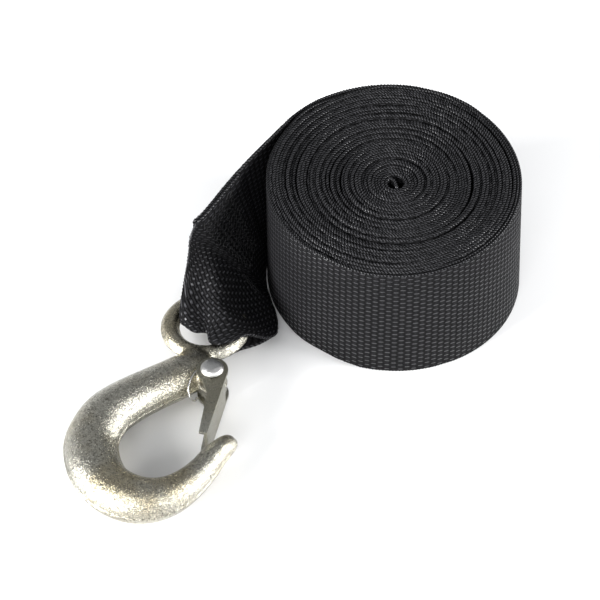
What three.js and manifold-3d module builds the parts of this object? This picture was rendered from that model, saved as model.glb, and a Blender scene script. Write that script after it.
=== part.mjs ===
// Winch strap: a rolled 50 mm webbing strap with a forged eye hook sewn into its outer end.
// Millimetres, +Z up, the roll standing on its flat end and the hook lying on the same floor.

import * as THREE from 'three';
import { mergeVertices } from 'three/addons/utils/BufferGeometryUtils.js';
import Module from 'manifold-3d';

const wasm = await Module();
wasm.setup();

// Sizes.

const CLEARANCE = 0.3;            // left between pieces that touch

const WEB_WIDTH = 50;             // webbing
const WEB_THICKNESS = 1.2;
const SEWN_THICKNESS = 3.2;       // both layers and the thread between them
const GATHER_THICKNESS = 3.2;     // the webbing folded together inside the eye
const FLOOR_GAP = 0.15;           // the lower edge of the tail above the floor

const ROLL_RADIUS = 46.6;
const ROLL_BORE_RADIUS = 3;
const TURN_GROOVES_TOP = 9;       // every fourth turn shows as a groove
const TURN_GROOVES_BASE = 3;
const TURN_GROOVE_WIDTH = 0.8;
const TURN_GROOVE_DEPTH = 0.9;
const TAIL_ANGLE = 146;           // where the tail leaves the roll, in degrees

const EYE_RADIUS = 12.7;          // middle of the bar
const EYE_BAR_RADIUS = 3.1;
const HOOK_HALF_THICKNESS = 8;
const HOOK_HEADING = -107.2;      // the load line, from the eye to the bowl, in degrees
const EYE_FROM_TAIL = [-29.1, -59.9];   // eye centre from the point where the tail leaves the roll

const PIVOT = [24, 10.7];         // latch rivet, from the eye centre: along and across the load line
const RIVET_RADIUS = 2;
const RIVET_HEAD_RADIUS = 3.9;
const RIVET_HEAD_HEIGHT = 1.9;
const RIVET_FOOT_HEIGHT = 0.5;
const LUG_RADIUS = 4.9;
const LATCH_SHEET = 1.2;
const LATCH_HEIGHT = 13.8;
const LATCH_EAR_RADIUS = 5.6;
const LATCH_WEB_START = 27;       // along the load line
const LATCH_REACH = 28.3;         // from the rivet to the free end
const LATCH_SETBACK = 5.5;        // from the rivet to the outer face of the latch's web
const LATCH_SLOPE = 0.072;        // rise of the web towards the tip
const SPRING_WIRE_RADIUS = 0.55;
const SPRING_COIL_RADIUS = 3.2;
const SPRING_PITCH = 1.4;

// Joining and cutting.

function toSolid(geometry) {
  const plain = geometry.clone();
  plain.deleteAttribute('normal');
  plain.deleteAttribute('uv');
  const merged = mergeVertices(plain, 1e-4);
  return new wasm.Manifold(new wasm.Mesh({
    numProp: 3,
    vertProperties: new Float32Array(merged.attributes.position.array),
    triVerts: new Uint32Array(merged.index.array),
  }));
}

function toGeometry(solid) {
  const mesh = solid.getMesh();
  const geometry = new THREE.BufferGeometry();
  geometry.setAttribute('position', new THREE.BufferAttribute(new Float32Array(mesh.vertProperties), 3));
  geometry.setIndex(new THREE.BufferAttribute(new Uint32Array(mesh.triVerts), 1));
  geometry.computeVertexNormals();
  return geometry;
}

function upright(radius, bottom, top, sides, x = 0, y = 0) {
  const geometry = new THREE.CylinderGeometry(radius, radius, top - bottom, sides);
  geometry.rotateX(Math.PI / 2);
  geometry.translate(x, y, (top + bottom) / 2);
  return geometry;
}

// Lofts.

// A closed skin over rings of points, all rings with the same count, ends closed with a fan.
function skin(rings) {
  const count = rings[0].length;
  const points = rings.flat();
  const index = [];
  for (let i = 0; i + 1 < rings.length; i++) {
    for (let j = 0; j < count; j++) {
      const a = i * count + j;
      const b = i * count + (j + 1) % count;
      index.push(a, b, b + count, a, b + count, a + count);
    }
  }
  const middle = (ring) => ring.reduce((sum, p) => sum.add(p), new THREE.Vector3()).divideScalar(count);
  points.push(middle(rings[0]), middle(rings[rings.length - 1]));
  const first = points.length - 2;
  const last = points.length - 1;
  const base = (rings.length - 1) * count;
  for (let j = 0; j < count; j++) {
    index.push(first, (j + 1) % count, j);
    index.push(last, base + j, base + (j + 1) % count);
  }
  const geometry = new THREE.BufferGeometry();
  geometry.setAttribute('position', new THREE.Float32BufferAttribute(points.flatMap((p) => p.toArray()), 3));
  geometry.setIndex(index);
  return geometry;
}

function outwards(geometry) {
  const solid = toSolid(geometry);
  if (solid.volume() > 0) return solid;
  const index = geometry.index.array;
  for (let i = 0; i < index.length; i += 3) [index[i], index[i + 1]] = [index[i + 1], index[i]];
  return toSolid(geometry);
}

// Webbing laid through stations. Each station is its upper edge, its middle, its lower edge and
// a thickness; the middle may bow out of line with the edges.
function webbing(stations, steps, across) {
  const curves = [0, 1, 2].map((k) => new THREE.CatmullRomCurve3(
    stations.map((s) => new THREE.Vector3(...s[k])), false, 'centripetal'));
  const spots = stations.map((s, i) => i / (stations.length - 1));
  const rows = [];
  for (let i = 0; i <= steps; i++) {
    const t = i / steps;
    const k = Math.min(stations.length - 2, Math.floor(t * (stations.length - 1)));
    const f = (t - spots[k]) * (stations.length - 1);
    const thickness = stations[k][3] * (1 - f) + stations[k + 1][3] * f;
    const [upper, mid, lower] = curves.map((c) => c.getPoint(t));
    const row = [];
    for (let j = 0; j <= across; j++) {
      const v = j / across;
      row.push(new THREE.Vector3()
        .addScaledVector(upper, (1 - v) * (1 - 2 * v))
        .addScaledVector(mid, 4 * v * (1 - v))
        .addScaledVector(lower, v * (2 * v - 1)));
    }
    rows.push({ row, thickness });
  }
  const at = (i, j) => rows[Math.max(0, Math.min(steps, i))].row[Math.max(0, Math.min(across, j))];
  const rings = rows.map(({ row, thickness }, i) => {
    const front = [];
    const back = [];
    row.forEach((p, j) => {
      const along = at(i + 1, j).clone().sub(at(i - 1, j));
      const side = at(i, j + 1).clone().sub(at(i, j - 1));
      const normal = along.cross(side).normalize().multiplyScalar(thickness / 2);
      front.push(p.clone().add(normal));
      back.push(p.clone().sub(normal));
    });
    return [...front, ...back.reverse()];
  });
  return outwards(skin(rings));
}

// A forging laid through stations of [along, across, half width, half thickness].
function forging(stations, steps, sides) {
  const path = new THREE.CatmullRomCurve3(stations.map((s) => new THREE.Vector3(s[0], s[1], 0)), false, 'centripetal');
  const sizes = new THREE.CatmullRomCurve3(stations.map((s) => new THREE.Vector3(s[2], s[3], 0)), false, 'centripetal');
  const rings = [];
  for (let i = 0; i <= steps; i++) {
    const t = i / steps;
    const middle = path.getPoint(t);
    const size = sizes.getPoint(t);
    const heading = path.getTangent(t);
    const side = new THREE.Vector3(-heading.y, heading.x, 0);
    const ring = [];
    for (let j = 0; j < sides; j++) {
      const angle = (j / sides) * 2 * Math.PI;
      const round = (value) => Math.sign(value) * Math.abs(value) ** 0.9;
      ring.push(middle.clone().addScaledVector(side, size.x * round(Math.cos(angle)))
        .add(new THREE.Vector3(0, 0, size.y * round(Math.sin(angle)))));
    }
    rings.push(ring);
  }
  return outwards(skin(rings));
}

// Webbing strap.

// The roll: one turned body with its bore, and shallow grooves on both ends that follow the turns.
function rollGeometry() {
  const lay = (grooves, z, depth) => {
    const step = (ROLL_RADIUS - ROLL_BORE_RADIUS) / grooves;
    const points = [];
    for (let i = 1; i < grooves; i++) {
      const r = ROLL_BORE_RADIUS + i * step;
      points.push([r - TURN_GROOVE_WIDTH / 2, z], [r, z + depth], [r + TURN_GROOVE_WIDTH / 2, z]);
    }
    return points;
  };
  const outline = [
    [ROLL_BORE_RADIUS, 0], ...lay(TURN_GROOVES_BASE, 0, TURN_GROOVE_DEPTH),
    [ROLL_RADIUS, 0], [ROLL_RADIUS, WEB_WIDTH],
    ...lay(TURN_GROOVES_TOP, WEB_WIDTH, -TURN_GROOVE_DEPTH).reverse(), [ROLL_BORE_RADIUS, WEB_WIDTH],
    [ROLL_BORE_RADIUS, 0],
  ];
  const geometry = new THREE.LatheGeometry(outline.map(([r, z]) => new THREE.Vector2(r, z)), 44);
  geometry.rotateX(Math.PI / 2);
  return geometry;
}

const onRoll = (degrees, z, gap = 0) => {
  const angle = THREE.MathUtils.degToRad(degrees);
  const radius = ROLL_RADIUS + gap;
  return [radius * Math.cos(angle), radius * Math.sin(angle), z];
};
const leave = onRoll(TAIL_ANGLE, 0, -WEB_THICKNESS / 2);
const eye = [leave[0] + EYE_FROM_TAIL[0], leave[1] + EYE_FROM_TAIL[1], HOOK_HALF_THICKNESS];

// Places on the strap: from the point where the tail leaves the roll, and from the eye's centre.
// Heights up the standing webbing are given as shares of its width.
const fromRoll = (x, y, share) => [leave[0] + x, leave[1] + y, share * WEB_WIDTH];
const fromEye = (x, y, z) => [eye[0] + x, eye[1] + y, z];
const halfway = (a, b, bow = [0, 0, 0]) => a.map((value, k) => (value + b[k]) / 2 + bow[k]);
const barTop = HOOK_HALF_THICKNESS + EYE_BAR_RADIUS + CLEARANCE;
const low = FLOOR_GAP + WEB_THICKNESS / 2;

function tail() {
  const rows = [
    [onRoll(TAIL_ANGLE - 8, WEB_WIDTH, -WEB_THICKNESS / 2), onRoll(TAIL_ANGLE - 8, FLOOR_GAP, -WEB_THICKNESS / 2), WEB_THICKNESS],
    [fromRoll(0, 0, 1), onRoll(TAIL_ANGLE, FLOOR_GAP, -WEB_THICKNESS / 2), WEB_THICKNESS],
    [fromRoll(-7.6, -10.7, 0.998), onRoll(158.5, FLOOR_GAP, -WEB_THICKNESS / 2), WEB_THICKNESS],
    [fromRoll(-15.1, -21.3, 0.99), onRoll(171, FLOOR_GAP, -0.3), WEB_THICKNESS],
    [fromRoll(-17.4, -24.6, 0.985), onRoll(175, FLOOR_GAP, 0), SEWN_THICKNESS],
    [fromRoll(-22.6, -31.9, 0.975), onRoll(183.5, FLOOR_GAP, 0.6), SEWN_THICKNESS],
    [fromRoll(-30.1, -42.5, 0.95), onRoll(191.5, low, 0.6), SEWN_THICKNESS],
    [fromRoll(-31.5, -44.4, 0.93), onRoll(194, low + 0.4, 0.6), WEB_THICKNESS],
  ];
  return webbing(rows.map(([upper, lower, t]) => [upper, halfway(upper, lower), lower, t]), 28, 6);
}

// The layer of the loop that is seen: from the seam over the eye's bar and down into its hole.
function loopFront() {
  return webbing([
    [fromRoll(-29.2, -41.3, 0.95), fromEye(10.6, 21.9, 24.9), onRoll(189.5, low + 0.4, 1.2), WEB_THICKNESS],
    [fromEye(-4.3, 14.2, 42), fromEye(8.5, 13.6, 21), fromEye(23.5, 15.7, 3.4), WEB_THICKNESS],
    [fromEye(-6.0, 11.7, 28.5), fromEye(6.9, 5.6, 17.2), fromEye(24.1, 6.7, 5.2), WEB_THICKNESS],
    [fromEye(-7.8, 8.2, 19), fromEye(4.8, -1.8, 14.6), fromEye(19.5, -3.0, barTop - 1), WEB_THICKNESS],
    [fromEye(-5.6, 4.2, 13.6), fromEye(2.4, -4.0, 13.4), fromEye(9.3, -8.6, barTop + 1.4), 1.8],
    [fromEye(0.8, 5.2, 9.5), fromEye(3.2, -1.8, 9.8), fromEye(2.8, -7.6, 10.4), GATHER_THICKNESS],
    [fromEye(3.0, 5.8, 5.6), fromEye(5.2, -0.6, 5.5), fromEye(3.2, -7.0, 5.5), GATHER_THICKNESS],
    [fromEye(5.2, 6.4, 2.6), fromEye(7.6, -0.8, 2.4), fromEye(5.6, -7.4, 2.4), 2.4],
  ], 28, 6);
}

// The layer that returns under the bar and up behind the first one to the seam.
function loopBack() {
  return webbing([
    [fromEye(3.0, 5.8, 5.0), fromEye(5.2, -0.6, 5.0), fromEye(3.2, -7.0, 5.0), 2.4],
    [fromEye(5.0, 7.2, 1.7), fromEye(8.6, 1.2, 1.6), fromEye(6.8, -7.4, 1.6), 2],
    [fromEye(8.4, 13.6, 2.0), fromEye(14.6, 4.8, 1.2), fromEye(12.8, -4.4, 1.1), 1.4],
    [fromEye(8.2, 18.6, 7.5), fromEye(17.4, 9.4, 1.8), fromEye(20.5, -0.6, low), WEB_THICKNESS],
    [fromEye(4.4, 20.8, 20), fromEye(16.8, 15.6, 7.2), fromEye(25.2, 4.4, low), WEB_THICKNESS],
    [fromEye(0.8, 19.6, 35), fromEye(13.2, 19.6, 15.5), fromEye(24.6, 14.6, low), WEB_THICKNESS],
    [fromRoll(-30.8, -41.7, 0.94), fromEye(9.4, 22.3, 24.6), onRoll(190, low, 0.9), WEB_THICKNESS],
    [fromRoll(-27.4, -37.3, 0.955), fromEye(11.4, 25.0, 25), onRoll(187, low, 0.6), WEB_THICKNESS],
  ], 30, 6);
}

function strapGeometry() {
  const bar = new THREE.TorusGeometry(EYE_RADIUS, EYE_BAR_RADIUS + CLEARANCE, 10, 36);
  bar.translate(...eye);
  const reach = 4 * ROLL_RADIUS;
  const standing = new THREE.BoxGeometry(reach, reach, WEB_WIDTH);
  standing.translate(-reach / 4, 0, WEB_WIDTH / 2);
  const strap = toSolid(rollGeometry()).add(tail()).add(loopFront()).add(loopBack());
  return toGeometry(strap.intersect(toSolid(standing)).subtract(toSolid(bar)));
}

// Eye hook.

const latchHalf = LATCH_HEIGHT / 2;
const earInside = latchHalf - LATCH_SHEET;
const lugHalf = earInside - CLEARANCE;
const springTop = earInside - CLEARANCE;
const springMiddle = springTop - SPRING_WIRE_RADIUS;
const springFloor = springMiddle - SPRING_WIRE_RADIUS - CLEARANCE;

function springGeometry(radius) {
  const points = [];
  for (let angle = -110; angle <= 250; angle += 30) {
    const turn = THREE.MathUtils.degToRad(angle);
    const rise = (angle + 110) / 360;
    points.push([
      PIVOT[0] + SPRING_COIL_RADIUS * Math.cos(turn), PIVOT[1] + SPRING_COIL_RADIUS * Math.sin(turn),
      springMiddle - SPRING_PITCH * (1 - rise),
    ]);
  }
  points.push(
    [PIVOT[0] + 1.6, PIVOT[1] - 4.0, springMiddle],
    [PIVOT[0] + 4.0, PIVOT[1] - 5.6, springMiddle],
    [PIVOT[0] + 6.8, PIVOT[1] - 6.2, springMiddle - 0.3],
    [PIVOT[0] + 8.9, PIVOT[1] - 5.0, springMiddle - 2.6],
    [PIVOT[0] + 9.4, PIVOT[1] - 4.0, springMiddle - 5.6],
    [PIVOT[0] + 7.8, PIVOT[1] - 3.2, springMiddle - 7.2],
  );
  const path = new THREE.CatmullRomCurve3(points.map((p) => new THREE.Vector3(...p)), false, 'centripetal');
  const round = new THREE.Shape().absarc(0, 0, radius, 0, 2 * Math.PI);
  return new THREE.ExtrudeGeometry(round, { steps: 44, curveSegments: 7, extrudePath: path });
}

function hookGeometry() {
  const body = forging([
    [11.8, 0.4, 3.6, 2.9], [15.2, 1.4, 6.0, 4.3], [19.8, 2.2, 8.0, 6.0], [25.4, -1.4, 8.4, 6.9],
    [32.4, -7.6, 8.4, 7.2], [38.4, -12.7, 8.6, 7.6], [43.5, -16.4, 8.9, HOOK_HALF_THICKNESS],
    [49.2, -19.6, 9.2, HOOK_HALF_THICKNESS], [56.4, -21, 9.3, HOOK_HALF_THICKNESS],
    [63.2, -20.6, 9.3, HOOK_HALF_THICKNESS], [69, -18.3, 9.3, HOOK_HALF_THICKNESS],
    [73.8, -15.2, 9.3, HOOK_HALF_THICKNESS], [77.7, -11.2, 9.2, HOOK_HALF_THICKNESS],
    [80.6, -6.4, 9.2, HOOK_HALF_THICKNESS], [82, 0.4, 9, HOOK_HALF_THICKNESS],
    [80.9, 6.8, 8.4, 7.6], [77.2, 12.4, 7.3, 7], [72.2, 16.2, 6.3, 6.3], [66.8, 18.8, 5.6, 5.8],
    [61.8, 20.4, 5.1, 5.3], [57.2, 21.5, 4.7, 4.9], [53.2, 22.9, 4.3, 4.4], [49.6, 24.4, 3.7, 3.9],
    [47.4, 25.2, 2.6, 2.8], [46.4, 25.5, 1, 1.1],
  ], 46, 16);
  const ring = new THREE.TorusGeometry(EYE_RADIUS, EYE_BAR_RADIUS, 10, 36);
  const lug = upright(LUG_RADIUS, -lugHalf, lugHalf, 24, ...PIVOT);
  const over = HOOK_HALF_THICKNESS + 2;
  const seat = LATCH_EAR_RADIUS + 2 * CLEARANCE;
  const cuts = [
    upright(seat, lugHalf, over, 28, ...PIVOT),
    upright(seat, -over, -lugHalf, 28, ...PIVOT),
    upright(SPRING_COIL_RADIUS + SPRING_WIRE_RADIUS + CLEARANCE, springFloor - SPRING_PITCH, over, 24, ...PIVOT),
    upright(RIVET_RADIUS + CLEARANCE, -over, over, 20, ...PIVOT),
    springGeometry(SPRING_WIRE_RADIUS + CLEARANCE),
  ];
  let hook = body.add(toSolid(ring)).add(toSolid(lug));
  for (const cut of cuts) hook = hook.subtract(toSolid(cut));
  return toGeometry(hook);
}

// Latch.

// Bent from sheet: two ears on the rivet, joined beyond the lug by a web that closes the mouth.
function latchGeometry() {
  const web = (along) => PIVOT[1] + LATCH_SETBACK + (along - PIVOT[0]) * LATCH_SLOPE;
  const end = PIVOT[0] + LATCH_REACH;
  const outline = new THREE.Shape();
  outline.absarc(PIVOT[0], PIVOT[1], LATCH_EAR_RADIUS, Math.PI * 0.46, Math.PI * 1.88, false);
  outline.lineTo(PIVOT[0] + 10.5, web(PIVOT[0] + 10.5) - 4.6);
  outline.lineTo(end, web(end) - 3);
  outline.lineTo(end, web(end));
  outline.lineTo(LATCH_WEB_START, web(LATCH_WEB_START));
  const hole = new THREE.Path().absarc(PIVOT[0], PIVOT[1], RIVET_RADIUS + CLEARANCE, 0, 2 * Math.PI, true);
  outline.holes.push(hole);
  const flange = (bottom) => {
    const geometry = new THREE.ExtrudeGeometry(outline, { depth: LATCH_SHEET, bevelEnabled: false, curveSegments: 20 });
    geometry.translate(0, 0, bottom);
    return geometry;
  };
  const strip = new THREE.Shape([
    new THREE.Vector2(LATCH_WEB_START, web(LATCH_WEB_START)), new THREE.Vector2(LATCH_WEB_START, web(LATCH_WEB_START) - LATCH_SHEET),
    new THREE.Vector2(end, web(end) - LATCH_SHEET), new THREE.Vector2(end, web(end)),
  ]);
  const plate = new THREE.ExtrudeGeometry(strip, { depth: LATCH_HEIGHT, bevelEnabled: false });
  plate.translate(0, 0, -latchHalf);
  const latch = toSolid(flange(latchHalf - LATCH_SHEET)).add(toSolid(flange(-latchHalf))).add(toSolid(plate));
  return toGeometry(latch);
}

// The rivet: a domed head over the upper ear, its shank, and a flat closed head below.
function rivetGeometry() {
  const head = latchHalf + CLEARANCE;
  const dome = [];
  for (let i = 0; i <= 5; i++) {
    const angle = (i / 5) * (Math.PI / 2);
    dome.push([RIVET_HEAD_RADIUS * Math.cos(angle), head + 0.4 + (RIVET_HEAD_HEIGHT - 0.4) * Math.sin(angle)]);
  }
  const outline = [
    [0, -head - RIVET_FOOT_HEIGHT], [RIVET_HEAD_RADIUS, -head - RIVET_FOOT_HEIGHT], [RIVET_HEAD_RADIUS, -head],
    [RIVET_RADIUS, -head], [RIVET_RADIUS, head], [RIVET_HEAD_RADIUS, head], ...dome.slice(0, -1),
    [0, head + RIVET_HEAD_HEIGHT],
  ];
  const geometry = new THREE.LatheGeometry(outline.map(([r, z]) => new THREE.Vector2(r, z)), 24);
  geometry.rotateX(Math.PI / 2);
  return geometry;
}

// Assembly.

function piece(name, geometry, colour, roughness, metalness) {
  geometry.deleteAttribute('uv');
  geometry.computeVertexNormals();
  const material = new THREE.MeshStandardMaterial({ color: colour, roughness, metalness });
  const mesh = new THREE.Mesh(geometry, material);
  mesh.name = name;
  return mesh;
}

const strap = piece('webbing_strap', strapGeometry(), 0x1b1b1d, 0.9, 0);

const hook = new THREE.Group();
hook.position.set(...eye);
hook.rotation.z = THREE.MathUtils.degToRad(HOOK_HEADING);
const rivet = piece('latch_rivet', rivetGeometry(), 0xd9dbdc, 0.28, 1);
rivet.position.set(...PIVOT, 0);
hook.add(
  piece('hook_forging', hookGeometry(), 0xb9b793, 0.42, 1),
  piece('latch', latchGeometry(), 0x9a9a8c, 0.4, 1),
  rivet,
  piece('latch_spring', springGeometry(SPRING_WIRE_RADIUS), 0xc9cbcc, 0.3, 1),
);

// The origin is under the middle of the whole, on the floor.
const whole = new THREE.Group();
whole.add(strap, hook);
whole.updateMatrixWorld(true);
const box = new THREE.Box3().setFromObject(whole, true);
const middle = box.getCenter(new THREE.Vector3());
whole.position.set(-middle.x, -middle.y, -box.min.z);

const part = new THREE.Group();
part.add(whole);

export default part;
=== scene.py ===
"""Winch strap: a rolled black webbing strap with a forged eye hook sewn into its outer end."""
import math

import bpy
import numpy as np
from mathutils import Matrix, Vector


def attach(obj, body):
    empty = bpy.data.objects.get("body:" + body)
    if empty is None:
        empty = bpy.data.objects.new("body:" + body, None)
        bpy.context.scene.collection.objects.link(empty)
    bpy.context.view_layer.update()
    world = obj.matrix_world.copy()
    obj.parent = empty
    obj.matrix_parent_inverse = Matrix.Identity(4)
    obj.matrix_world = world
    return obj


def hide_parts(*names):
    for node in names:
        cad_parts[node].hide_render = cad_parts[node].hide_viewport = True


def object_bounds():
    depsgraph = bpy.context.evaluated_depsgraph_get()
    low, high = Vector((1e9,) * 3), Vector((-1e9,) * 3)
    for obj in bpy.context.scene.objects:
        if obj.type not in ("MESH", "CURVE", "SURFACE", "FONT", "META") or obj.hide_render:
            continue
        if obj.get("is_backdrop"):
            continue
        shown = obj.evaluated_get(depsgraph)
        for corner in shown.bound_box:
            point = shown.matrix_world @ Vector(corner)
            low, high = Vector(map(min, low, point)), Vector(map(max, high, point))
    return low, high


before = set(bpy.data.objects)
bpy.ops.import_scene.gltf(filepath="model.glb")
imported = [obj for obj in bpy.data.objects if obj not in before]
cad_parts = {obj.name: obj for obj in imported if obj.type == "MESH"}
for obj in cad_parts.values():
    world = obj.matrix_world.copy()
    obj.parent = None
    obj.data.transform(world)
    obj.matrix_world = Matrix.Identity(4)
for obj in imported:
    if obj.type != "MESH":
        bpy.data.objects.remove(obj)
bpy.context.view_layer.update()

bpy.ops.object.select_all(action="DESELECT")

# Camera, floor and light. The photograph looks down on the strap from the front, from about a metre
# away, on a white sweep. Two soft boxes stand low on the left and right, a weak one in front, and the
# room fills in from above.

MM = 0.001
LOOK_AT = Vector((0.917, 1.295, 25.02)) * MM
LOOK_FROM = Vector((0.917, -674.29, 762.30)) * MM
LENS = 169.12

lens = bpy.data.cameras.new("camera")
lens.lens = LENS
lens.sensor_width = 36
camera = bpy.data.objects.new("camera", lens)
camera.location = LOOK_FROM
camera.rotation_euler = (LOOK_AT - LOOK_FROM).to_track_quat("-Z", "Y").to_euler()
bpy.context.scene.collection.objects.link(camera)
bpy.context.scene.camera = camera
bpy.context.scene.view_settings.view_transform = "Standard"


def soft_box(name, place, wide, high, power):
    lamp = bpy.data.lights.new(name, "AREA")
    lamp.shape = "RECTANGLE"
    lamp.size, lamp.size_y, lamp.energy = wide, high, power
    box = bpy.data.objects.new(name, lamp)
    box.location = place
    box.rotation_euler = (LOOK_AT - Vector(place)).to_track_quat("-Z", "Y").to_euler()
    bpy.context.scene.collection.objects.link(box)


soft_box("soft_box_left", (-1.15, -0.6, 0.40), 0.7, 0.6, 44)
soft_box("soft_box_right", (1.15, -0.2, 0.42), 0.6, 0.5, 24)
soft_box("soft_box_front", (-0.15, -1.35, 0.75), 0.9, 0.4, 10)

room = bpy.data.worlds.new("room")
room.use_nodes = True
room.node_tree.nodes["Background"].inputs[0].default_value = (0.95, 0.97, 1.0, 1)
room.node_tree.nodes["Background"].inputs[1].default_value = 0.42
bpy.context.scene.world = room


class Wire:
    """One socket of a finish being wired up. Sums written on it add the nodes that do them."""

    def __init__(self, tree, socket):
        self.tree, self.socket = tree, socket

    def node(self, kind, settings=None, inputs=None, out=0):
        made = self.tree.nodes.new(kind)
        for name, value in (settings or {}).items():
            setattr(made, name, value)
        for name, value in (inputs or {}).items():
            if isinstance(value, Wire):
                self.tree.links.new(value.socket, made.inputs[name])
            else:
                made.inputs[name].default_value = value
        return Wire(self.tree, made.outputs[out])

    def maths(self, operation, *values):
        return self.node("ShaderNodeMath", {"operation": operation}, dict(enumerate(values)))

    def noise(self, place, scale, detail=2.0, roughness=0.5):
        return self.node("ShaderNodeTexNoise", None, {"Vector": place, "Scale": scale, "Detail": detail,
                                                      "Roughness": roughness})

    def bump(self, height, strength, distance):
        return self.node("ShaderNodeBump", None, {"Strength": strength, "Distance": distance,
                                                  "Height": height})

    def colours(self, first, second):
        """From the first colour to the second as this value goes from 0 to 1."""
        return self.node("ShaderNodeMix", {"data_type": "RGBA"}, {0: self, 6: first, 7: second}, out=2)

    def ramp(self, low, high):
        """Smoothly from 0 at the low value to 1 at the high one."""
        smooth = {"interpolation_type": "SMOOTHSTEP"}
        return self.node("ShaderNodeMapRange", smooth, {0: self, 1: low, 2: high})

    def __add__(self, other):
        return self.maths("ADD", self, other)

    def __sub__(self, other):
        return self.maths("SUBTRACT", self, other)

    def __rsub__(self, other):
        return self.maths("SUBTRACT", other, self)

    def __mul__(self, other):
        return self.maths("MULTIPLY", self, other)

    def __truediv__(self, other):
        return self.maths("DIVIDE", self, other)

    __radd__ = __add__
    __rmul__ = __mul__


def finish(name):
    """A new material: itself, its surface shader, and a wire to start from."""
    material = bpy.data.materials.new(name)
    material.use_nodes = True
    surface = material.node_tree.nodes["Principled BSDF"]
    return material, surface, Wire(material.node_tree, surface.outputs[0])


def feed(surface, name, wire):
    wire.tree.links.new(wire.socket, surface.inputs[name])


def object_place(wire):
    return wire.node("ShaderNodeTexCoord", out=3)


def painted(piece, material):
    """Give the piece this one material and smooth faces."""
    piece.data.materials.clear()
    piece.data.materials.append(material)
    for face in piece.data.polygons:
        face.use_smooth = True


bpy.ops.mesh.primitive_plane_add(size=6, location=(0, 0, 0))
floor = bpy.context.object
floor.name = "floor"
paper, surface, wire = finish("white_paper")
grain = wire.noise(object_place(wire), 40.0)
feed(surface, "Base Color", grain.colours((0.90, 0.90, 0.90, 1), (0.92, 0.92, 0.92, 1)))
surface.inputs["Roughness"].default_value = 0.95
surface.inputs["Specular IOR Level"].default_value = 0.1
painted(floor, paper)
floor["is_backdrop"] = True

# The webbing's finish: black polyester, its warp yarns floating over two picks and under the next two. Its
# base colour is painted lighter on the crowns of the floats and of the edge cord and darker in the gaps
# between them, a painted highlight and painted shade, so that short bright dashes lie staggered over a darker
# ground. The edges are bound like a cord.
# The map "laid" holds millimetres along and across the strap; from BOUND_FROM across it is the edge.

WARP_PITCH = 1.075        # millimetres across the strap
FLOAT_REPEAT = 4.7        # along it
EDGE_TWIST = 1.18
BOUND_FROM = 150.0
EDGE_LANE = 200.0
WHOLE_TURN = 2 * math.pi

webbing, surface, wire = finish("black_webbing")
laid = wire.node("ShaderNodeSeparateXYZ", None, {0: wire.node("ShaderNodeUVMap", {"uv_map": "laid"})})
along = laid
across = Wire(wire.tree, laid.socket.node.outputs[1])
bound = across.maths("GREATER_THAN", across, BOUND_FROM)
yarn = across / WARP_PITCH
lane = yarn.maths("FLOOR", yarn)
stagger = lane.maths("FRACT", lane * 0.5)
arch = yarn.maths("COSINE", (yarn - lane - 0.5) * math.pi)
crown = yarn.maths("POWER", yarn.maths("ABSOLUTE", arch), 1.6)
over = 0.5 + 0.5 * along.maths("COSINE", (along / FLOAT_REPEAT + stagger) * WHOLE_TURN)
pick = along.maths("ABSOLUTE", along.maths("COSINE", along / FLOAT_REPEAT * WHOLE_TURN))
face = crown * over.ramp(0.42, 0.96) + (1 - over) * pick * 0.30
twist = 0.5 + 0.5 * along.maths("COSINE", (along / EDGE_TWIST + across * 0.62) * WHOLE_TURN)
place = object_place(wire)
fuzz = wire.noise(place, 900.0, 3.0)
height = (1 - bound) * face + bound * twist
fuzzed_yarn_height = height * (0.72 + 0.56 * fuzz)
drift = wire.noise(place, 55.0)
# Painted highlight and painted shade: the base colour is lighter where the yarn stands high and darker in the
# gaps between the yarns.
painted_crown_light_gap_shade = fuzzed_yarn_height.ramp(0.12, 1.05).colours((0.004, 0.004, 0.0045, 1), (0.046, 0.046, 0.051, 1))
faded = painted_crown_light_gap_shade.colours(painted_crown_light_gap_shade, (0.014, 0.014, 0.016, 1))
feed(surface, "Base Color", drift.ramp(0.3, 0.75).colours(painted_crown_light_gap_shade, faded))
feed(surface, "Roughness", 0.75 - 0.3 * fuzzed_yarn_height)
surface.inputs["Specular IOR Level"].default_value = 0.10
surface.inputs["Coat Roughness"].default_value = 0.32
surface.inputs["Coat IOR"].default_value = 1.5
feed(surface, "Coat Weight", fuzzed_yarn_height.ramp(0.5, 1.0) * 0.65)
feed(surface, "Normal", wire.bump(fuzzed_yarn_height, 1.0, 0.0009))


EDGE_TEETH = 0.27         # how far the edge's cord stands out and in
RIM = ((0.62, 0.22), (0.0, 0.36), (-0.62, 0.22))   # share of the half thickness, and reach past the edge


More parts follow.
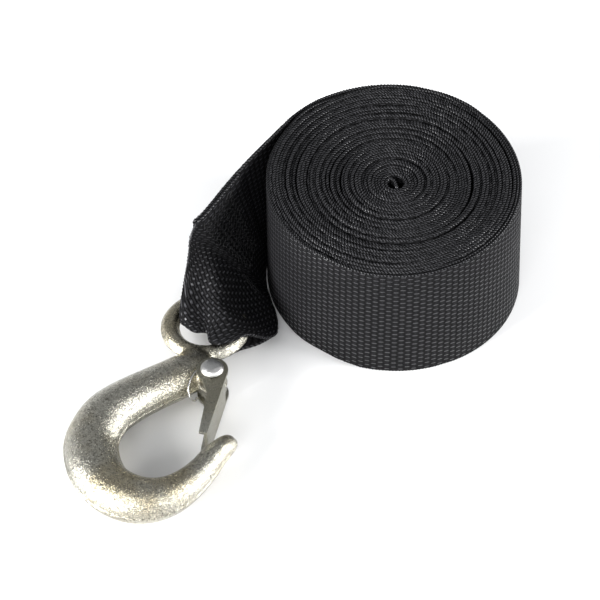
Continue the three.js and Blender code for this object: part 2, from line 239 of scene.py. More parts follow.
def lay_webbing(name, spots, thick, lanes, runs):
    """A closed strip of webbing. spots[i][j] is its middle surface in millimetres, i along it and
    j across. lanes[i][j] and runs[i][j] are the pattern's places across and along the strap there."""
    count, wide = spots.shape[:2]
    ahead = np.gradient(spots, axis=0)
    aside = np.gradient(spots, axis=1)
    facing = np.cross(ahead, aside)
    facing /= np.linalg.norm(facing, axis=2, keepdims=True) + 1e-12
    aside /= np.linalg.norm(aside, axis=2, keepdims=True) + 1e-12
    half = (np.broadcast_to(np.asarray(thick, float), (count, wide)) / 2)[..., None]
    teeth = EDGE_TEETH * np.cos(runs[:, [0, -1]] / EDGE_TWIST * 2 * math.pi)[..., None]

    def edge(side):
        j, way = (wide - 1, 1) if side else (0, -1)
        rim = []
        for lift, reach in RIM:
            out = aside[:, j] * way * (reach + teeth[:, side])
            rim.append(spots[:, j] + facing[:, j] * half[:, j] * lift * (1 if side else -1) + out)
        return rim

    ring = [spots[:, j] + facing[:, j] * half[:, j] for j in range(wide)] + edge(1)
    ring += [spots[:, j] - facing[:, j] * half[:, j] for j in reversed(range(wide))] + edge(0)
    rounds = len(ring)
    points = np.stack(ring, 1)
    # The pattern's place across, for each strip of faces from ring point j to the next.
    strips = [(lanes[:, j], lanes[:, j + 1], runs[:, j], runs[:, j + 1]) for j in range(wide - 1)]
    bound_lanes = [(EDGE_LANE + 0.4 * k, EDGE_LANE + 0.4 + 0.4 * k) for k in range(4)]
    strips += [(low, high, runs[:, -1], runs[:, -1]) for low, high in bound_lanes]
    strips += [(99.6 - lanes[:, j + 1] + 1e-3, 99.6 - lanes[:, j] + 1e-3, runs[:, j + 1], runs[:, j])
               for j in reversed(range(wide - 1))]
    strips += [(low, high, runs[:, 0], runs[:, 0]) for low, high in bound_lanes]
    faces, maps = [], []
    index = np.arange(count * rounds).reshape(count, rounds)
    for j, (v0, v1, u0, u1) in enumerate(strips):
        v0, v1 = np.broadcast_to(v0, count), np.broadcast_to(v1, count)
        here, there = index[:, j], index[:, (j + 1) % rounds]
        faces.append(np.stack([here[:-1], here[1:], there[1:], there[:-1]], 1))
        maps.append(np.stack([np.stack([u0[:-1], v0[:-1]], 1), np.stack([u0[1:], v0[1:]], 1),
                              np.stack([u1[1:], v1[1:]], 1), np.stack([u1[:-1], v1[:-1]], 1)], 1))
    faces, maps = np.concatenate(faces), np.concatenate(maps).reshape(-1, 2)
    ends, end_maps = [], []
    for row, flip in ((index[0], False), (index[-1], True)):
        back = row[wide + 3:2 * wide + 3][::-1]
        caps = [[row[j], row[j + 1], back[j + 1], back[j]] for j in range(wide - 1)]
        caps.append([row[wide - 1], row[wide], row[wide + 1], row[wide + 2], row[wide + 3]])
        caps.append([row[2 * wide + 2], row[2 * wide + 3], row[2 * wide + 4], row[2 * wide + 5], row[0]])
        for cap in caps:
            ends.append([int(k) for k in (cap[::-1] if flip else cap)])
            end_maps += [(0.0, EDGE_LANE)] * len(cap)
    mesh = bpy.data.meshes.new(name)
    mesh.from_pydata((points.reshape(-1, 3) * MM).tolist(), [], faces.tolist() + ends)
    layer = mesh.uv_layers.new(name="laid")
    layer.uv.foreach_set("vector", np.concatenate([maps, np.array(end_maps)]).astype(np.float32).ravel())
    mesh.validate()
    piece = bpy.data.objects.new(name, mesh)
    bpy.context.scene.collection.objects.link(piece)
    bpy.ops.object.select_all(action="DESELECT")
    piece.select_set(True)
    bpy.context.view_layer.objects.active = piece
    bpy.ops.object.mode_set(mode="EDIT")
    bpy.ops.mesh.select_all(action="SELECT")
    bpy.ops.mesh.normals_make_consistent(inside=False)
    bpy.ops.object.mode_set(mode="OBJECT")
    painted(piece, webbing)
    return piece


# The roll: the strap wound on itself from its inner end, about 36 turns, and stood on its edge. The
# turns aren't drawn equally tight, the outer ones have slipped a little down at the front, and the
# last one stands off before the tail leaves.

ROLL_AXIS = np.array([34.147, 37.735])
WEB_WIDTH = 50.0
WEB_THICKNESS = 1.12
TURN_PITCH = 1.19
RIM_ROOM = 0.62                 # the bound edge takes this much of the width
TIGHTEST = 1.13                 # from one turn to the next where nothing is slack
ROLL_REACH = (46.5, 48.9)       # half widths of the roll, left to right and front to back
CORE_RADIUS = 3.3
CORE_SHIFT = np.array([0.7, -3.6])    # the core sits off the roll's middle
CORE_START = 130.0              # degrees, where the inner end starts to turn
ROLL_END = 146.0                # where the tail leaves
# (turn from the inside, direction in degrees, spread in degrees, gap in mm) of the slack turns.
SLACK = [(13, 178, 34, 0.75), (16, 170, 38, 0.7), (17, 186, 30, 0.45), (20, 352, 42, 0.8), (21, 10, 30, 0.5),
         (23, 184, 40, 0.45), (26, 176, 45, 0.6), (30, 20, 40, 0.5), (33, 28, 36, 0.9), (29, 180, 40, 0.45),
         (9, 185, 40, 0.4), (11, 0, 35, 0.4), (25, 90, 18, 0.5), (28, 95, 20, 0.6), (31, 80, 22, 0.4),
         (24, 270, 20, 0.4), (28, 262, 24, 0.45)]

# The same for turns that have sunk a little, with how far.
SUNK = [(25, 90, 16, 0.9), (28, 92, 18, 1.1), (22, 84, 16, 0.6), (26, 268, 20, 0.7), (31, 264, 18, 0.6)]

chance = np.random.default_rng(7)


def wander(count, knots, size):
    """count values that wander smoothly, with a new direction at each of so many knots."""
    rough = np.interp(np.linspace(0, knots, count), np.arange(knots + 1), chance.normal(0, size, knots + 1))
    spread = max(3, count // knots // 2 * 2 + 1)
    return np.convolve(np.pad(rough, spread // 2, mode="edge"), np.ones(spread) / spread, "valid")


turns = int((ROLL_REACH[0] - CORE_RADIUS) / TURN_PITCH)
degrees = np.arange(CORE_START, 360 * turns + ROLL_END + 1)
slack = np.abs(wander(len(degrees), turns * 5, 0.10))
for turn, way, spread, gap in SLACK:
    slack += gap * np.exp(-(((degrees - (360 * turn + way)) / spread) ** 2))
reach = CORE_RADIUS + TURN_PITCH * (degrees - CORE_START) / 360
for k in range(360, len(degrees)):
    reach[k] = reach[k - 360] + TIGHTEST + slack[k - 360]
turned = np.radians(degrees)
left = (degrees[-1] - degrees) / 360
outer = 1 / np.hypot(np.cos(turned) / ROLL_REACH[0], np.sin(turned) / ROLL_REACH[1]) - 0.6 - TURN_PITCH * left
fit = outer[-360:] / reach[-360:]
share = np.clip((reach - CORE_RADIUS) / 30, 0, 1)
reach *= 1 + (fit[(np.arange(len(degrees)) - len(degrees)) % 360] - 1) * share
core = np.array([(0.5, -2.3), (0.35, -1.2), (0.15, 0.0), (0.0, 1.1), (-0.45, 2.0), (-1.2, 2.6)])
reach += 1.1 * np.exp(-(left / 0.11) ** 2)
path = np.concatenate([core, np.stack([reach * np.cos(turned), reach * np.sin(turned)], 1)])
path += CORE_SHIFT * (1 - np.minimum(np.linalg.norm(path, axis=1) / 47, 1))[:, None]
turn_of = np.concatenate([np.full(len(core), CORE_START), degrees])
run = np.concatenate([[0], np.cumsum(np.linalg.norm(np.diff(path, axis=0), axis=1))])
ROLL_LENGTH = run[-1]
fine_from = ROLL_LENGTH - 2 * math.pi * 46 * 1.6       # the last turns are drawn in finer steps
marks = np.concatenate([np.arange(0, fine_from, 2.0), np.arange(fine_from, ROLL_LENGTH, 0.33)])
marks = np.append(marks[marks < ROLL_LENGTH - 0.3], ROLL_LENGTH)
path = np.stack([np.interp(marks, run, path[:, k]) for k in (0, 1)], 1) + ROLL_AXIS
turn_at = np.interp(marks, run, turn_of)
lift = 0.6 + wander(len(marks), turns * 6, 0.52)
to_end = (turn_of[-1] - turn_at) / 360
front = np.exp(-(((turn_at - 335 + 180) % 360 - 180) / 62.0) ** 2)
lift += 0.5 * (1 - np.clip(2.6 - to_end, 0, 1)) - 1.3 * front * np.clip(2.7 - to_end, 0, 1)
for turn, way, spread, drop in SUNK:
    lift -= drop * np.exp(-(((turn_at - (360 * turn + way)) / spread) ** 2))
lift = np.clip(lift, 0, 1.6) * np.clip(to_end * 2, 0, 1)
rows = np.array([RIM_ROOM, 16.0, 33.0, WEB_WIDTH - RIM_ROOM])
spots = np.zeros((len(marks), 4, 3))
spots[..., :2] = path[:, None]
spots[..., 2] = rows + 0.05 + lift[:, None]
# The roll's right side flares a little towards its foot.
away = spots[..., :2] - ROLL_AXIS
share = np.clip(np.linalg.norm(away, axis=2) / 47, 0, 1) ** 3
side = np.exp(-(((turn_at + 18 + 180) % 360 - 180) / 58.0) ** 2)[:, None]
spots[..., :2] += away / 47 * (2.2 * side * share * (1 - spots[..., 2] / 50))[..., None]
strap_roll = lay_webbing("strap_roll", spots, WEB_THICKNESS, np.tile(rows, (len(marks), 1)),
                         np.tile(marks[:, None], (1, 4)))
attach(strap_roll, "strap")
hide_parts("webbing_strap")

# The strap's outer end: it stands off the roll as a tail, goes down behind the seam, under the hook's
# bar, up through its eye and back over the front, and is sewn down on the tail's inner side.

EYE = np.array([-33.089, 3.558])
EYE_HEIGHT = 8.02
ROLL_SIDE = 46.6          # from the roll's axis to the strap that lies against it
TAIL_ROWS = 110
ACROSS = 51               # points across the strap
SIXTHS = (0, 10, 20, 30, 40, 50)
SEWN_FROM = 50            # of the tail's rows, where the return layer starts
HALF_LAYERS = 0.62        # from the middle of the seam to the middle of each layer


def on_roll(way, z, gap):
    angle = math.radians(way)
    return np.array([ROLL_AXIS[0] + (ROLL_SIDE + gap) * math.cos(angle),
                     ROLL_AXIS[1] + (ROLL_SIDE + gap) * math.sin(angle), z])


def from_eye(x, y, z):
    return np.array([EYE[0] + x, EYE[1] + y, z])


def through(points, count, even=False):
    """count points on a smooth line through these, as many between each two."""
    points = np.asarray(points, float)
    gaps = np.ones(len(points) - 1) if even else np.sqrt(np.linalg.norm(np.diff(points, axis=0), axis=1))
    knots = np.concatenate([[0], np.cumsum(np.maximum(gaps, 1e-6))])
    full = np.concatenate([[2 * points[0] - points[1]], points, [2 * points[-1] - points[-2]]])
    times = np.concatenate([[2 * knots[0] - knots[1]], knots, [2 * knots[-1] - knots[-2]]])
    where = np.interp(np.linspace(0, len(points) - 1, count), np.arange(len(points)), knots)
    k = np.clip(np.searchsorted(knots, where, "right") - 1, 0, len(points) - 2)
    p = [full[k + i] for i in range(4)]
    t = [times[k + i][:, None] for i in range(4)]
    w = where[:, None]
    a = [((t[i + 1] - w) * p[i] + (w - t[i]) * p[i + 1]) / (t[i + 1] - t[i]) for i in range(3)]
    b = [((t[i + 2] - w) * a[i] + (w - t[i]) * a[i + 1]) / (t[i + 2] - t[i]) for i in range(2)]
    return ((t[2] - w) * b[0] + (w - t[1]) * b[1]) / (t[2] - t[1])


def woven(stations, count, wide):
    """A smooth surface through rows of six points, each row from the strap's upper edge to its lower one."""
    grid = np.stack([through([row[j] for row in stations], count) for j in range(6)], 1)
    return np.stack([through(row, wide, even=True) for row in grid])


def straight(upper, lower):
    return [upper + (lower - upper) * f for f in np.linspace(0, 1, 6)]


def bowed(upper, middle, lower):
    """Six points across the strap, on the curve through these three."""
    return [upper * (1 - f) * (1 - 2 * f) + middle * 4 * f * (1 - f) + lower * f * (2 * f - 1)
            for f in np.linspace(0, 1, 6)]


def facing_of(grid):
    normal = np.cross(np.gradient(grid, axis=0), np.gradient(grid, axis=1))
    return normal / (np.linalg.norm(normal, axis=2, keepdims=True) + 1e-12)


roll_end = np.array([*path[-1], 0.0])
tail = woven([
    straight(roll_end + (0, 0, 49.7), roll_end + (0, 0, 0.4)),
    straight(np.array([-9.4, 58.7, 49.7]), on_roll(154, 0.4, -0.3)),
    straight(np.array([-14.6, 51.4, 49.6]), on_roll(162, 0.4, -0.2)),
    straight(np.array([-23.5, 36.7, 49.4]), on_roll(174, 0.4, 0.0)),
    straight(np.array([-27.9, 29.4, 49.0]), on_roll(181, 0.5, 0.2)),
    straight(np.array([-31.9, 22.9, 48.4]), on_roll(187, 0.6, 0.3)),
    straight(np.array([-36.2, 17.6, 47.3]), on_roll(191.5, 0.9, 0.5)),
], TAIL_ROWS, ACROSS)
toward_roll = facing_of(tail)
toward_roll *= np.sign(toward_roll[60, 25, 0])


def layer_row(i, side):
    """A row of one layer in the seam: side 1 is the layer towards the roll, -1 the one behind it."""
    return [tail[i, j] + toward_roll[i, j] * side * HALF_LAYERS for j in SIXTHS]


lapped = np.clip((np.arange(TAIL_ROWS) - SEWN_FROM + 8) / 10, 0, 1)
first_rows = [[tail[i, j] - toward_roll[i, j] * HALF_LAYERS * lapped[i] for j in SIXTHS]
              for i in (0, 18, 36, SEWN_FROM, 64, 80, 96, 109)]
under_rows = [
    bowed(from_eye(0.8, 19.6, 35), from_eye(13.2, 19.6, 15.5), from_eye(24.6, 14.6, 0.8)),
    bowed(from_eye(4.4, 20.8, 20), from_eye(16.8, 15.6, 7.2), from_eye(25.2, 4.4, 0.8)),
    bowed(from_eye(8.2, 18.6, 7.5), from_eye(17.4, 9.4, 1.8), from_eye(20.5, -0.6, 0.8)),
    bowed(from_eye(8.4, 13.6, 2.0), from_eye(14.6, 4.8, 1.2), from_eye(12.8, -4.4, 1.1)),
    bowed(from_eye(5.4, 7.0, 1.8), from_eye(8.6, 1.2, 1.7), from_eye(6.8, -7.4, 1.7)),
    bowed(from_eye(3.4, 6.0, 4.6), from_eye(5.4, -0.6, 4.6), from_eye(3.8, -7.0, 4.6)),
]
front_rows = [np.array(row) for row in (
    [(-33.6, 9.6, 5.5), (-32.9, 7.4, 5.6), (-32.0, 4.4, 5.8),
     (-30.6, 1.0, 6.2), (-29.8, -1.6, 6.6), (-29.2, -3.2, 7.2)],
    [(-37.6, 7.4, 8.3), (-35.2, 5.2, 8.0), (-32.4, 3.2, 7.6),
     (-30.9, -0.9, 8.6), (-29.5, -3.4, 9.2), (-27.4, -4.6, 10.2)],
    [(-41.1, 3.4, 10.2), (-37.0, -0.7, 10.8), (-32.2, -0.9, 10.6),
     (-30.7, -7.0, 12.4), (-27.2, -8.4, 12.9), (-22.4, -6.3, 12.7)],
    [(-42.0, 4.9, 12.6), (-38.5, 1.1, 13.0), (-32.6, 2.5, 12.6),
     (-26.9, -2.7, 14.6), (-21.9, -3.6, 13.4), (-17.5, -3.9, 12.2)],
    [(-41.7, 8.3, 15.8), (-39.4, 5.5, 15.6), (-33.7, 5.6, 14.5),
     (-25.5, 2.2, 15.6), (-18.2, 1.2, 10.5), (-10.6, 0.0, 6.2)],
    [(-40.5, 13.7, 21.5), (-37.8, 12.7, 20.5), (-33.9, 11.6, 18.5),
     (-27.8, 8.6, 17.0), (-19.2, 7.4, 9.8), (-7.6, 5.4, 3.6)],
    [(-38.9, 16.1, 31.0), (-36.3, 16.5, 28.5), (-32.4, 15.9, 25.0),
     (-27.4, 14.2, 20.5), (-19.3, 13.9, 10.6), (-8.0, 11.4, 2.8)],
    [(-37.7, 16.4, 42.0), (-34.6, 17.8, 38.0), (-30.5, 19.6, 31.5),
     (-25.4, 21.2, 23.0), (-18.7, 22.6, 12.5), (-10.0, 21.5, 3.0)],
)]
back_rows = [layer_row(i, 1) for i in (108, 96, 80, 64, SEWN_FROM)]
stations = first_rows + under_rows + front_rows + back_rows
GATHERED = [1.4, 2.0, 3.0, 2.6, 1.5]      # thickness through the eye, where the webbing lies in pleats
layers = [WEB_THICKNESS] * 11 + GATHERED + [WEB_THICKNESS] * 11
per_gap = 14
count = (len(stations) - 1) * per_gap + 1
loop = woven(stations, count, ACROSS)
thick = np.interp(np.arange(count) / per_gap, np.arange(len(stations)), layers)[:, None]
loop[..., 2] = np.maximum(loop[..., 2], thick / 2 + 0.1)
steps = np.linalg.norm(np.diff(loop.mean(1), axis=0), axis=1)
runs = np.tile((np.cumsum(np.concatenate([[0], steps])) + ROLL_LENGTH)[:, None], (1, ACROSS))
lanes = np.tile(np.linspace(0.3, 49.3, ACROSS), (count, 1))
# Over the front of the loop the warp runs down to the left, round the standing fold.
SLANT = math.radians(32)
start, stop = len(first_rows) + len(under_rows) - 1, len(stations) - len(back_rows)
over = slice(start * per_gap, stop * per_gap + 1)
down = np.cumsum(np.linalg.norm(np.diff(loop[::-1], axis=0, prepend=loop[-1:]), axis=2), axis=0)[::-1]
right = np.cumsum(np.linalg.norm(np.diff(loop, axis=1, prepend=loop[:, :1]), axis=2), axis=1)
right -= right[:, 25:26]
runs[over] = (math.cos(SLANT) * down - math.sin(SLANT) * right + 400)[over]
lanes[over] = (math.sin(SLANT) * down + math.cos(SLANT) * right + 30)[over]
strap_end = lay_webbing("strap_end", loop, thick, lanes, runs)
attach(strap_end, "strap")
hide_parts("webbing_strap")

# The seam: rows of black polyester thread zigzagged through both layers by machine. Each row is modelled
# as one round thread on the side that faces the roll, its stitches a little uneven.

THREAD = 0.17
STITCH_STEP = 1.15
thread_black, surface, wire = finish("black_thread")
lustre = wire.noise(object_place(wire), 2600.0)
feed(surface, "Base Color", lustre.colours((0.001, 0.001, 0.001, 1), (0.012, 0.012, 0.014, 1)))
feed(surface, "Roughness", 0.45 + 0.25 * lustre)


def sew(name, path, radius):
    """A round thread of six sides along a path of points, in millimetres."""
    curve = bpy.data.curves.new(name, "CURVE")
    curve.dimensions = "3D"
    curve.bevel_depth, curve.bevel_resolution, curve.use_fill_caps = radius * MM, 1, True
    line = curve.splines.new("POLY")
    line.points.add(len(path) - 1)
    line.points.foreach_set("co", np.concatenate([path * MM, np.ones((len(path), 1))], 1).ravel())
    shown = bpy.data.objects.new(name, curve)
    bpy.context.scene.collection.objects.link(shown)
    bpy.ops.object.select_all(action="DESELECT")
    shown.select_set(True)
    bpy.context.view_layer.objects.active = shown
    bpy.ops.object.convert(target="MESH")
    made = bpy.context.object
    made.name = name
    return made


def seam_point(i, j, proud):
    """A place on the seam's face: i along the tail's rows, j across them, both with fractions."""
    i0, j0 = min(int(i), TAIL_ROWS - 2), min(int(j), ACROSS - 2)
    fi, fj = i - i0, j - j0
    at = ((tail[i0, j0] * (1 - fi) + tail[i0 + 1, j0] * fi) * (1 - fj)
          + (tail[i0, j0 + 1] * (1 - fi) + tail[i0 + 1, j0 + 1] * fi) * fj)
    return at + toward_roll[i0, j0] * (2 * HALF_LAYERS + proud)


threads = []
for number, row in enumerate(np.linspace(SEWN_FROM + 14, 105, 8)):
    across = np.arange(2.0, 36.0, STITCH_STEP)
    zig = np.where(np.arange(len(across)) % 2, 1, -1) * 2.4 + chance.normal(0, 0.8, len(across))
    points = []
    for j, off in zip(across + chance.normal(0, 0.25, len(across)), zig):
        proud = 0.12 + abs(chance.normal(0, 0.12))
        points.append(seam_point(np.clip(row + off, 0, TAIL_ROWS - 1.1), np.clip(j, 0.5, 49.5), proud))
    threads.append(sew(f"seam_row_{number}", np.array(points), THREAD))
bpy.ops.object.select_all(action="DESELECT")
for thread in threads:
    thread.select_set(True)
bpy.context.view_layer.objects.active = threads[0]
bpy.ops.object.join()
seam_thread = bpy.context.object
seam_thread.name = "seam_thread"
painted(seam_thread, thread_black)
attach(seam_thread, "strap")

# The hook: drop forged in one piece with its eye and the latch's lug, fettled along the parting line and
# plated with yellow-passivated zinc. It lies on its side, its load line turned towards the camera.

HOOK_HEADING = math.radians(-107.2)
eye_place = Matrix.Translation(Vector((EYE[0], EYE[1], EYE_HEIGHT)) * MM)
hook_frame = eye_place @ Matrix.Rotation(HOOK_HEADING, 4, "Z")
PIVOT = (24.0, 10.7)
EYE_RADIUS = 12.7
BAR_RADIUS = 3.1
LUG_HALF = 5.4
LUG_RADIUS = 4.9
SEAT_RADIUS = 6.3         # the flats that the latch's ears lie on
# Places along the forging: along and across the load line, half width and half thickness.
FORGED = [
    (11.8, 0.4, 3.6, 2.9), (15.2, 1.4, 6.0, 4.3), (19.8, 2.2, 8.0, 6.0), (25.4, -1.4, 8.4, 6.9),
    (32.4, -7.6, 8.4, 7.2), (38.4, -12.7, 8.6, 7.6), (43.5, -16.4, 8.9, 8.0), (49.2, -19.6, 9.2, 8.0),
    (56.4, -21, 9.3, 8.0), (63.2, -20.6, 9.3, 8.0), (69, -18.3, 9.3, 8.0), (73.8, -15.2, 9.3, 8.0),
    (77.7, -11.2, 9.2, 8.0), (80.6, -6.4, 9.2, 8.0), (82, 0.4, 9, 8.0), (80.9, 6.8, 8.4, 7.6),
    (77.2, 12.4, 7.3, 7), (72.2, 16.2, 6.3, 6.3), (66.8, 18.8, 5.6, 5.8), (61.8, 20.4, 5.1, 5.3),
    (57.2, 21.5, 4.7, 4.9), (53.2, 22.9, 4.3, 4.4), (49.6, 24.4, 3.7, 3.9), (47.4, 25.2, 2.6, 2.8),
    (46.4, 25.5, 1, 1.1),
]
FORGED_STEPS = 97
FORGED_SIDES = 40
VOXEL = 0.42
PARTING_REACH = 0.42      # how far the parting line stands out, and half its width
PARTING_HALF = 0.85
SQUARING = 1.08           # over 1 slopes the forging's shoulders, under 1 squares them


def alone(piece):
    bpy.ops.object.select_all(action="DESELECT")
    piece.select_set(True)
    bpy.context.view_layer.objects.active = piece


def apply_modifier(piece, kind, **settings):
    alone(piece)
    made = piece.modifiers.new(kind.lower(), kind)
    for name, value in settings.items():
        setattr(made, name, value)
    bpy.ops.object.modifier_apply(modifier=made.name)


middles = through([(a, b, 0) for a, b, _, _ in FORGED], FORGED_STEPS)
station = np.linspace(0, len(FORGED) - 1, FORGED_STEPS)
sizes = np.stack([np.interp(station, np.arange(len(FORGED)), [s[k] for s in FORGED]) for k in (2, 3)], 1)
for _ in range(2):
    sizes[1:-1] = 0.25 * sizes[:-2] + 0.5 * sizes[1:-1] + 0.25 * sizes[2:]
heading = np.gradient(middles, axis=0)
heading = np.arctan2(heading[:, 1], heading[:, 0])
bpy.ops.mesh.primitive_circle_add(vertices=FORGED_SIDES, radius=1, fill_type="NGON",
                                  rotation=(0, math.pi / 2, 0))
forging = bpy.context.object
bpy.ops.object.transform_apply(location=False, rotation=True, scale=False)
for corner in forging.data.vertices:
    corner.co.y = math.copysign(abs(corner.co.y) ** SQUARING, corner.co.y)
    corner.co.z = math.copysign(abs(corner.co.z) ** SQUARING, corner.co.z)
bpy.ops.object.mode_set(mode="EDIT")
bpy.ops.mesh.select_all(action="SELECT")


def turn_ring(angle, about):
    bpy.ops.transform.rotate(value=-angle, orient_axis="Z", center_override=about)


origin = (0.0, 0.0, 0.0)
bpy.ops.transform.resize(value=(1, sizes[0, 0] * MM, sizes[0, 1] * MM), center_override=origin)
turn_ring(heading[0], origin)
bpy.ops.transform.translate(value=(middles[0] * MM).tolist())
for k in range(1, FORGED_STEPS):
    here = (middles[k] * MM).tolist()
    ahead = ((middles[k] - middles[k - 1]) * MM).tolist()
    bpy.ops.mesh.extrude_region_move(TRANSFORM_OT_translate={"value": ahead})
    turn_ring(-heading[k - 1], here)
    bpy.ops.transform.resize(value=(1, *(sizes[k] / sizes[k - 1])), center_override=here)
    turn_ring(heading[k], here)
bpy.ops.mesh.select_all(action="SELECT")
bpy.ops.mesh.normals_make_consistent(inside=False)
bpy.ops.object.mode_set(mode="OBJECT")
bpy.ops.mesh.primitive_torus_add(major_radius=EYE_RADIUS * MM, minor_radius=BAR_RADIUS * MM,
                                 major_segments=120, minor_segments=36)
ring = bpy.context.object
bpy.ops.mesh.primitive_cylinder_add(vertices=64, radius=LUG_RADIUS * MM, depth=2 * LUG_HALF * MM,
                                    location=(PIVOT[0] * MM, PIVOT[1] * MM, 0))
lug = bpy.context.object
bpy.ops.object.select_all(action="DESELECT")
for part in (ring, lug, forging):
    part.select_set(True)
bpy.context.view_layer.objects.active = forging
bpy.ops.object.join()
apply_modifier(forging, "REMESH", mode="VOXEL", voxel_size=VOXEL * MM)
apply_modifier(forging, "SMOOTH", factor=0.5, iterations=5)
for low, high in ((LUG_HALF, 12.0), (-12.0, -LUG_HALF)):
    bpy.ops.mesh.primitive_cylinder_add(vertices=72, radius=SEAT_RADIUS * MM, depth=(high - low) * MM,
                                        location=(PIVOT[0] * MM, PIVOT[1] * MM, (low + high) / 2 * MM))
    seat = bpy.context.object
    apply_modifier(forging, "BOOLEAN", object=seat, operation="DIFFERENCE", solver="FAST")
    bpy.data.objects.remove(seat)
apply_modifier(forging, "REMESH", mode="VOXEL", voxel_size=VOXEL * MM)
apply_modifier(forging, "SMOOTH", factor=0.5, iterations=6)
forging.data.update()
lifted = np.array([c.co[:] for c in forging.data.vertices])
facing = np.array([c.normal[:] for c in forging.data.vertices])
near = np.clip(1 - np.abs(lifted[:, 2]) / (PARTING_HALF * MM), 0, 1)
near = near * near * (3 - 2 * near)
facing[:, 2] = 0
lifted += facing * (near * PARTING_REACH * MM)[:, None]
forging.data.vertices.foreach_set("co", lifted.astype(np.float32).ravel())
forging.data.transform(hook_frame)
forging.name = "hook_body"


def plating(name, base, warm, dark, rough, grain_size, pits):
    """Zinc plating over a grainy steel skin: a tint that drifts, fine dark specks and a soft grain."""
    material, surface, wire = finish(name)
    place = object_place(wire)
    drift = wire.noise(place, 48.0, 3.0)
    grain = wire.noise(place, grain_size, 6.0, 0.7)
    fine = wire.noise(place, grain_size * 2.6, 3.0, 0.7)
    specks = wire.node("ShaderNodeTexVoronoi", None, {"Vector": place, "Scale": grain_size * 0.9})
    pitted = (1 - specks.ramp(0.04, 0.30)) * grain.ramp(0.44, 0.60) * pits
    tint = drift.ramp(0.38, 0.62).colours(base, warm)
    mottle = fine.ramp(0.44, 0.60) * 0.62 + grain.ramp(0.42, 0.66) * 0.4
    darkened = mottle * pits + pitted
    feed(surface, "Base Color", wire.maths("MINIMUM", darkened, 1.0).colours(tint, dark))
    feed(surface, "Roughness", rough + 0.3 * (grain - 0.5) + 0.2 * pitted)
    surface.inputs["Metallic"].default_value = 1.0
    lumps = grain * 0.55 + fine * 0.45 - pitted * 0.4
    feed(surface, "Normal", wire.bump(lumps, 0.9, 0.0004))
    return material


zinc = plating("zinc_forging", base=(0.60, 0.585, 0.51, 1), warm=(0.53, 0.475, 0.34, 1),
               dark=(0.085, 0.078, 0.06, 1), rough=0.25, grain_size=900.0, pits=1.0)
painted(forging, zinc)
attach(forging, "hook")
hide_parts("hook_forging")

# The latch: one piece of 1.2 mm sheet, blanked, folded to a channel with two ears and zinc plated.

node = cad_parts["latch"]
latch = bpy.data.objects.new("latch_sheet", node.data.copy())
bpy.context.scene.collection.objects.link(latch)
latch.data.transform(hook_frame.inverted())
alone(latch)
bpy.ops.object.mode_set(mode="EDIT")
bpy.ops.mesh.select_all(action="SELECT")
bpy.ops.mesh.remove_doubles(threshold=0.00002)
bpy.ops.mesh.dissolve_limited(angle_limit=math.radians(2))
bpy.ops.object.mode_set(mode="OBJECT")
apply_modifier(latch, "BEVEL", width=0.22 * MM, segments=3, limit_method="ANGLE",
               angle_limit=math.radians(45))
bpy.ops.object.shade_smooth_by_angle(angle=math.radians(40))
latch.data.transform(hook_frame)
sheet = plating("zinc_sheet", base=(0.38, 0.375, 0.33, 1), warm=(0.32, 0.305, 0.24, 1),
                dark=(0.12, 0.12, 0.10, 1), rough=0.30, grain_size=1300.0, pits=0.5)
latch.data.materials.clear()
latch.data.materials.append(sheet)
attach(latch, "latch")
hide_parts("latch")

# The rivet: a steel pin through both ears and the lug, its head set to a low dome.

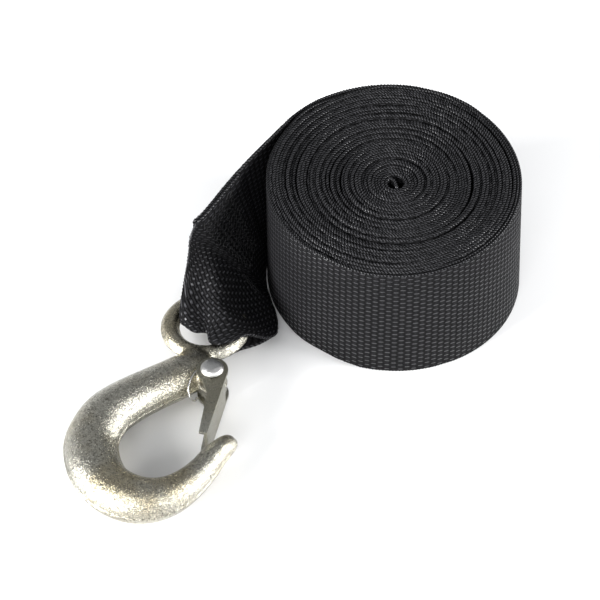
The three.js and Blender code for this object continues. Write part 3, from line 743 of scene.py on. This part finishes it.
HEAD = 7.2
RIVET = [(0, -HEAD - 0.5), (3.4, -HEAD - 0.5), (3.8, -HEAD - 0.3), (3.8, -HEAD), (2, -HEAD), (2, HEAD),
         (4.0, HEAD), (4.15, HEAD + 0.2), (4.1, HEAD + 0.5), (3.8, HEAD + 1.0), (3.25, HEAD + 1.45),
         (2.5, HEAD + 1.8), (1.55, HEAD + 2.02), (0.6, HEAD + 2.12), (0, HEAD + 2.13)]
mesh = bpy.data.meshes.new("rivet")
mesh.from_pydata([(r * MM, 0, z * MM) for r, z in RIVET], [(k, k + 1) for k in range(len(RIVET) - 1)], [])
rivet = bpy.data.objects.new("rivet", mesh)
bpy.context.scene.collection.objects.link(rivet)
alone(rivet)
bpy.ops.object.mode_set(mode="EDIT")
bpy.ops.mesh.select_all(action="SELECT")
bpy.ops.mesh.spin(steps=56, angle=2 * math.pi, center=(0, 0, 0), axis=(0, 0, 1))
bpy.ops.mesh.select_all(action="SELECT")
bpy.ops.mesh.remove_doubles(threshold=0.000005)
bpy.ops.mesh.normals_make_consistent(inside=False)
bpy.ops.object.mode_set(mode="OBJECT")
rivet.data.transform(hook_frame @ Matrix.Translation(Vector((PIVOT[0], PIVOT[1], 0)) * MM))
bright = plating("bright_rivet", base=(0.62, 0.62, 0.62, 1), warm=(0.55, 0.55, 0.54, 1),
                 dark=(0.35, 0.35, 0.34, 1), rough=0.33, grain_size=700.0, pits=0.4)
painted(rivet, bright)
alone(rivet)
bpy.ops.object.shade_smooth_by_angle(angle=math.radians(35))
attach(rivet, "hook")
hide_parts("latch_rivet")

# The latch spring: one coil of bright wire round the rivet, its outer leg bent over the shank.

SPRING_MIDDLE = 4.85
SPRING_PITCH = 1.4
COIL_RADIUS = 3.2
WIRE_RADIUS = 0.36
COIL_FROM, COIL_TO = -110, 250
wire_path = []
for angle in range(COIL_FROM, COIL_TO + 1, 10):
    turned_to = math.radians(angle)
    wire_path.append((PIVOT[0] + COIL_RADIUS * math.cos(turned_to),
                      PIVOT[1] + COIL_RADIUS * math.sin(turned_to),
                      SPRING_MIDDLE - SPRING_PITCH * (1 - (angle - COIL_FROM) / 360)))
# From the coil out over the shank's shoulder and down beside it, bent back at its end.
wire_path += [(22.9, 5.7, 5.0), (25.4, 4.9, 5.1), (28.9, 4.4, 5.0), (31.7, 4.5, 4.3), (33.7, 5.2, 3.0),
              (34.5, 6.0, 1.4), (34.2, 6.8, 0.0), (33.4, 7.3, -0.6), (31.9, 7.4, -0.6)]
spring = sew("latch_wire", through(wire_path, 320), WIRE_RADIUS)
spring.data.transform(hook_frame)
drawn = plating("bright_wire", base=(0.78, 0.79, 0.80, 1), warm=(0.74, 0.74, 0.74, 1),
                dark=(0.4, 0.4, 0.4, 1), rough=0.2, grain_size=1200.0, pits=0.2)
painted(spring, drawn)
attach(spring, "hook")
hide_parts("latch_spring")

low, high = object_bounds()
